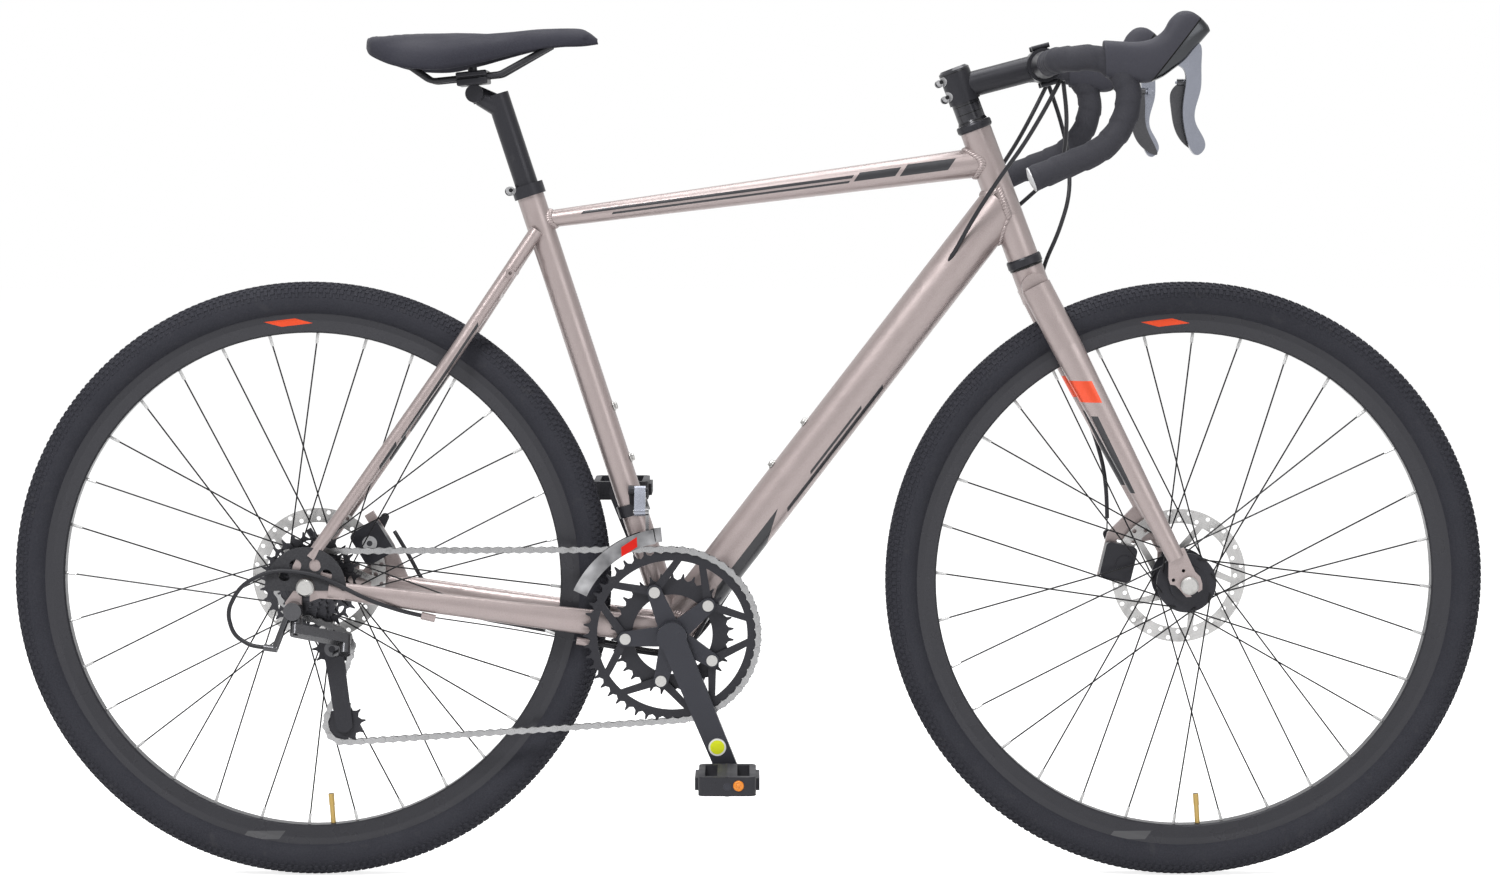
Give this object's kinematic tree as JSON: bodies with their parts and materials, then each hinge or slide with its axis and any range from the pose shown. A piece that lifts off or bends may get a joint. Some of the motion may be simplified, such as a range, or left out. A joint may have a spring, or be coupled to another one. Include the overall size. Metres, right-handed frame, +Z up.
{
  "type": "gravel bicycle",
  "caption": "Gravel bicycle with drop handlebar, disc brakes, double chainring, sprocket cassette, wide tyres and a tapered welded frame.",
  "frame": {"origin": "on the ground, midway between the two axles, in the bike's middle plane", "axes": "+X forward, +Y to the rider's left, +Z up; the chain is on the -Y side"},
  "size_m": [1.7359, 0.458, 1.0123],
  "materials": {
    "champagne_paint": "metallic satin",
    "black_metal": "anodised satin",
    "black_rubber": "matte",
    "soft_rubber": "matte",
    "saddle_skin": "satin",
    "black_plastic": "matte",
    "grey_plastic": "matte",
    "steel": "brushed",
    "chrome": "polished",
    "grey_metal": "satin",
    "black_steel": "satin"
  },
  "bodies": {
    "frame": {"frame": "champagne_paint", "seat_collar": "black_metal", "bottom_bracket": "black_steel", "headset_cups": "black_metal", "front_derailleur_clamp": "black_metal", "rear_caliper": "black_metal", "front_cables": "black_plastic", "rear_cables": "black_plastic", "dropout_guard": "grey_plastic", "chain": "steel", "rear_axle": "black_steel"},
    "seatpost": {"seatpost": "black_metal", "saddle_clamp": "black_metal"},
    "saddle": {"saddle_shell": "black_plastic", "saddle_cover": "saddle_skin", "saddle_rails": "black_steel"},
    "fork": {"fork": "champagne_paint", "headset_spacers": "black_metal", "stem": "black_metal", "stem_faceplate": "black_metal", "handlebar": "black_metal", "bar_tape": "soft_rubber", "brake_hoods": "soft_rubber", "front_caliper": "black_metal", "front_brake_cable": "black_plastic", "front_axle": "black_steel"},
    "front_wheel": {"front_tyre": "black_rubber", "front_rim": "black_metal", "front_spokes": "black_steel", "front_hub": "black_metal", "front_rotor": "steel"},
    "rear_wheel": {"rear_tyre": "black_rubber", "rear_rim": "black_metal", "rear_spokes": "black_steel", "rear_hub": "black_metal", "rear_rotor": "steel"},
    "cassette": {"cassette": "steel"},
    "crankset": {"right_crank": "black_metal", "left_crank": "black_metal", "outer_chainring": "black_steel", "inner_chainring": "black_steel", "chainring_bolts": "steel"},
    "right_pedal": {"right_pedal": "black_plastic"},
    "left_pedal": {"left_pedal": "black_plastic"},
    "rd_knuckle": {"rd_b_knuckle": "black_metal"},
    "rd_link": {"rd_outer_link": "grey_metal"},
    "rd_arm": {"rd_p_knuckle": "black_metal"},
    "rd_cage": {"rd_cage": "black_steel"},
    "guide_pulley": {"guide_pulley": "black_plastic"},
    "tension_pulley": {"tension_pulley": "black_plastic"},
    "fd_link": {"front_derailleur_link": "black_metal"},
    "fd_cage": {"front_derailleur_cage": "chrome"},
    "right_lever": {"right_brake_lever": "grey_metal"},
    "left_lever": {"left_brake_lever": "grey_metal"},
    "right_paddle": {"right_shift_paddle": "black_plastic"},
    "left_paddle": {"left_shift_paddle": "black_plastic"},
    "front_arm": {"front_caliper_arm": "black_metal"},
    "rear_arm": {"rear_caliper_arm": "black_metal"},
    "front_qr": {"front_qr_lever": "black_metal"},
    "rear_qr": {"rear_qr_lever": "black_metal"}
  },
  "joints": [
    {"name": "steering", "type": "hinge", "parent": "frame", "child": "fork", "pos_m": [0.32268, 0, 0.73466], "axis": [-0.3535, 0, 0.9354], "range_deg": [-60, 60], "deforming": ["front_cables"]},
    {"name": "front_wheel_spin", "type": "hinge", "parent": "fork", "child": "front_wheel", "pos_m": [0.515, 0, 0.353], "axis": [0, 1, 0], "continuous": true},
    {"name": "rear_wheel_spin", "type": "hinge", "parent": "frame", "child": "rear_wheel", "pos_m": [-0.515, 0, 0.353], "axis": [0, 1, 0], "continuous": true},
    {"name": "crank_spin", "type": "hinge", "parent": "frame", "child": "crankset", "pos_m": [-0.08914, 0, 0.2935], "axis": [0, 1, 0], "continuous": true, "deforming": ["chain"]},
    {"name": "cassette_spin", "type": "hinge", "parent": "frame", "child": "cassette", "pos_m": [-0.515, 0, 0.353], "axis": [0, 1, 0], "continuous": true},
    {"name": "right_pedal_spin", "type": "hinge", "parent": "crankset", "child": "right_pedal", "pos_m": [-0.02408, 0, 0.13644], "axis": [0, 1, 0], "continuous": true},
    {"name": "left_pedal_spin", "type": "hinge", "parent": "crankset", "child": "left_pedal", "pos_m": [-0.15419, 0, 0.45056], "axis": [0, 1, 0], "continuous": true},
    {"name": "rd_hanger_pivot", "type": "hinge", "parent": "frame", "child": "rd_knuckle", "pos_m": [-0.5286, 0, 0.3264], "axis": [0, 1, 0], "range_deg": [-4, 8], "stiffness_Nm_per_rad": 8, "deforming": ["rear_cables"]},
    {"name": "rd_shift", "type": "hinge", "parent": "rd_knuckle", "child": "rd_link", "pos_m": [-0.525, -0.088, 0.304], "axis": [0, 0.5593, 0.829], "range_deg": [-22, 17], "stiffness_Nm_per_rad": 1.5},
    {"name": "rd_arm_pivot", "type": "hinge", "parent": "rd_link", "child": "rd_arm", "pos_m": [-0.47, -0.06725, 0.29], "axis": [0, 0.5593, 0.829], "range_deg": [-17, 22]},
    {"name": "rd_cage_swing", "type": "hinge", "parent": "rd_arm", "child": "rd_cage", "pos_m": [-0.487, 0, 0.278], "axis": [0, 1, 0], "range_deg": [-25, 35], "stiffness_Nm_per_rad": 1.5},
    {"name": "guide_pulley_spin", "type": "hinge", "parent": "rd_cage", "child": "guide_pulley", "pos_m": [-0.487, 0, 0.278], "axis": [0, 1, 0], "continuous": true},
    {"name": "tension_pulley_spin", "type": "hinge", "parent": "rd_cage", "child": "tension_pulley", "pos_m": [-0.47507, 0, 0.18779], "axis": [0, 1, 0], "continuous": true},
    {"name": "fd_shift", "type": "hinge", "parent": "frame", "child": "fd_link", "pos_m": [-0.12761, -0.026, 0.46206], "axis": [1, 0, 0], "range_deg": [0, 15], "stiffness_Nm_per_rad": 1.5},
    {"name": "fd_cage_pivot", "type": "hinge", "parent": "fd_link", "child": "fd_cage", "pos_m": [-0.12761, -0.043, 0.43806], "axis": [1, 0, 0], "range_deg": [-15, 0]},
    {"name": "right_brake_pull", "type": "hinge", "parent": "fork", "child": "right_lever", "pos_m": [0.47847, -0.209, 0.96335], "axis": [0, 1, 0], "range_deg": [0, 14], "stiffness_Nm_per_rad": 4, "springref_deg": -11.46},
    {"name": "left_brake_pull", "type": "hinge", "parent": "fork", "child": "left_lever", "pos_m": [0.47847, 0.209, 0.96335], "axis": [0, 1, 0], "range_deg": [0, 14], "stiffness_Nm_per_rad": 4, "springref_deg": -11.46, "deforming": ["front_brake_cable"]},
    {"name": "right_shift_push", "type": "hinge", "parent": "right_lever", "child": "right_paddle", "pos_m": [0.47847, -0.1992, 0.93335], "axis": [1, 0, 0], "range_deg": [0, 15], "stiffness_Nm_per_rad": 1, "springref_deg": -11.46},
    {"name": "left_shift_push", "type": "hinge", "parent": "left_lever", "child": "left_paddle", "pos_m": [0.47847, 0.1992, 0.93335], "axis": [-1, 0, 0], "range_deg": [0, 15], "stiffness_Nm_per_rad": 1, "springref_deg": -11.46},
    {"name": "front_arm_pull", "type": "hinge", "parent": "fork", "child": "front_arm", "pos_m": [0.44874, 0.0635, 0.3683], "axis": [0, 1, 0], "range_deg": [0, 14]},
    {"name": "rear_arm_pull", "type": "hinge", "parent": "frame", "child": "rear_arm", "pos_m": [-0.45671, 0.0762, 0.38802], "axis": [0, 1, 0], "range_deg": [0, 14]},
    {"name": "front_qr_open", "type": "hinge", "parent": "fork", "child": "front_qr", "pos_m": [0.515, 0.065, 0.353], "axis": [-0.8351, 0, -0.5501], "range_deg": [0, 150]},
    {"name": "rear_qr_open", "type": "hinge", "parent": "frame", "child": "rear_qr", "pos_m": [-0.515, 0.0825, 0.353], "axis": [-0.8351, 0, -0.5501], "range_deg": [0, 150]},
    {"name": "seatpost_height", "type": "slide", "parent": "frame", "child": "seatpost", "axis": [-0.309, 0, 0.9511], "range_m": [-0.06, 0.08]},
    {"name": "saddle_setback", "type": "slide", "parent": "seatpost", "child": "saddle", "axis": [0.9947, 0, 0.1028], "range_m": [-0.009, 0.009]}
  ],
  "couplings": [
    {"joint": "cassette_spin", "follows": "crank_spin", "ratio": 2.6316},
    {"joint": "guide_pulley_spin", "follows": "crank_spin", "ratio": -4.5455},
    {"joint": "tension_pulley_spin", "follows": "crank_spin", "ratio": 4.5455},
    {"joint": "rd_arm_pivot", "follows": "rd_shift", "ratio": -1},
    {"joint": "fd_cage_pivot", "follows": "fd_shift", "ratio": -1},
    {"joint": "front_arm_pull", "follows": "left_brake_pull", "ratio": 1},
    {"joint": "rear_arm_pull", "follows": "right_brake_pull", "ratio": 1}
  ]
}
